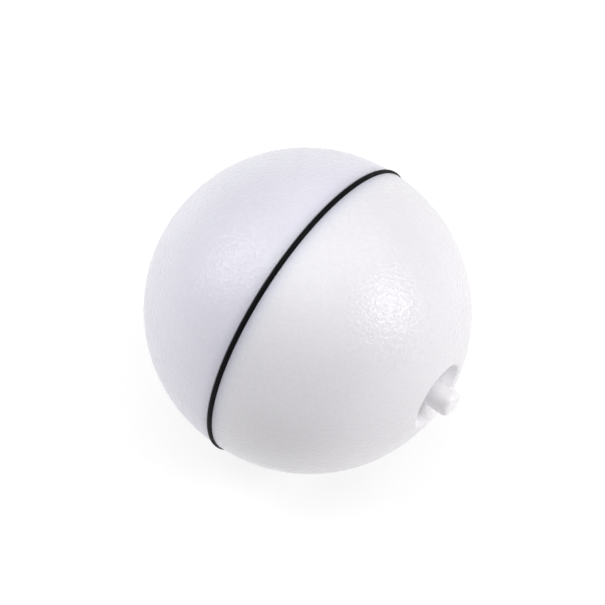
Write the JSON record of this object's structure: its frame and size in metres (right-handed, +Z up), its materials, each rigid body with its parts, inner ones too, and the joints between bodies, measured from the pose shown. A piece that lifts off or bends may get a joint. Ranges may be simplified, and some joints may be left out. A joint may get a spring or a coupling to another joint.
{
  "type": "self-rolling toy ball",
  "caption": "Two-part hollow ball with a rubber ring round its seam and a push button in a dimple at one pole, driven by a weighted core inside.",
  "frame": {"origin": "centre of the ball, on the roll axis and in the seam plane", "axes": "+Y along the roll axis away from the button, +Z up, against the core's counterweight"},
  "size_m": [0.0648, 0.0678, 0.0648],
  "materials": {
    "shell_white": "milky, fine spark-eroded grain",
    "black_rubber": "satin",
    "pin_plastic": "semi-gloss, slightly translucent",
    "frame_plastic": "satin",
    "gear_acetal": "semi-gloss",
    "steel": "bright",
    "weight_steel": "zinc plated",
    "spring_steel": "bright",
    "brass": "turned",
    "copper": "enamelled winding",
    "magnet": "matt",
    "cell_steel": "nickel plated",
    "board": "green solder mask",
    "black_plastic": "matt",
    "white_plastic": "semi-gloss",
    "capacitor_sleeve": "shrink sleeve",
    "led_red": "clear tinted",
    "led_blue": "clear tinted",
    "wire_red": "satin",
    "wire_black": "satin"
  },
  "bodies": {
    "drive_half": {"drive_half_shell": "shell_white", "rubber_ring": "black_rubber", "pole_screw": "steel", "output_hub": "gear_acetal", "output_shaft": "steel", "output_gear": "gear_acetal"},
    "core": {"core_frame": "frame_plastic", "gearbox_cover": "frame_plastic", "gearbox_screws": "steel", "bearing_cap": "frame_plastic", "cap_screws": "steel", "counterweight": "weight_steel", "counterweight_screws": "steel", "gear_pin": "steel", "motor_can": "steel", "motor_magnets": "magnet", "motor_end_cap": "white_plastic", "motor_terminals": "brass", "motor_screws": "steel", "button_cell_1": "cell_steel", "button_cell_2": "cell_steel", "button_cell_3": "cell_steel", "cell_spring": "spring_steel", "circuit_board": "board", "switch_body": "black_plastic", "controller_chip": "black_plastic", "vibration_sensor": "steel", "capacitor": "capacitor_sleeve", "transistor": "black_plastic", "chip_resistors": "black_plastic", "red_led": "led_red", "blue_led": "led_blue", "motor_lead_red": "wire_red", "motor_lead_black": "wire_black", "battery_lead_red": "wire_red", "battery_lead_black": "wire_black"},
    "second_gear": {"compound_gear_2": "gear_acetal"},
    "first_gear": {"compound_gear_1": "gear_acetal"},
    "motor_rotor": {"motor_shaft": "steel", "motor_armature": "copper", "motor_commutator": "copper", "motor_pinion": "brass"},
    "battery_door": {"battery_door": "frame_plastic", "door_contact": "spring_steel", "door_screw": "steel"},
    "switch_stem": {"switch_stem": "white_plastic"},
    "bush": {"trunnion_bush": "gear_acetal"},
    "button_half": {"button_half_shell": "shell_white", "bush_clip": "spring_steel", "button_spring": "spring_steel"},
    "button": {"button_pin": "pin_plastic", "pin_clip": "spring_steel"}
  },
  "joints": [
    {"name": "core_swing", "type": "hinge", "parent": "drive_half", "child": "core", "pos_m": [0, 0, 0], "axis": [0, 1, 0], "continuous": true},
    {"name": "second_gear_spin", "type": "hinge", "parent": "core", "child": "second_gear", "pos_m": [0, 0.0125, -0.0088], "axis": [0, 1, 0], "continuous": true},
    {"name": "first_gear_spin", "type": "hinge", "parent": "core", "child": "first_gear", "pos_m": [0, 0.0115, 0], "axis": [0, 1, 0], "continuous": true},
    {"name": "motor_spin", "type": "hinge", "parent": "core", "child": "motor_rotor", "pos_m": [-0.0088, 0, 0], "axis": [0, 1, 0], "continuous": true},
    {"name": "battery_door_slide", "type": "slide", "parent": "core", "child": "battery_door", "axis": [0, -1, 0], "range_m": [0, 0.006]},
    {"name": "switch_press", "type": "slide", "parent": "core", "child": "switch_stem", "axis": [0, 1, 0], "range_m": [0, 0.0015]},
    {"name": "half_withdraw", "type": "slide", "parent": "drive_half", "child": "bush", "axis": [0, -1, 0], "range_m": [0, 0.036]},
    {"name": "half_unscrew", "type": "hinge", "parent": "bush", "child": "button_half", "pos_m": [0, -0.0235, 0], "axis": [0, -1, 0], "range_deg": [0, 1080]},
    {"name": "button_press", "type": "slide", "parent": "button_half", "child": "button", "axis": [0, 1, 0], "range_m": [0, 0.0015], "stiffness_N_per_m": 400, "springref_m": -0.001, "deforming": ["button_spring"]}
  ],
  "couplings": [
    {"joint": "second_gear_spin", "follows": "core_swing", "ratio": 3.4},
    {"joint": "first_gear_spin", "follows": "core_swing", "ratio": -11.56},
    {"joint": "motor_spin", "follows": "core_swing", "ratio": 39.304},
    {"joint": "half_withdraw", "follows": "half_unscrew", "m_per_rad": 0.0019099},
    {"joint": "switch_press", "follows": "button_press", "ratio": 1}
  ]
}
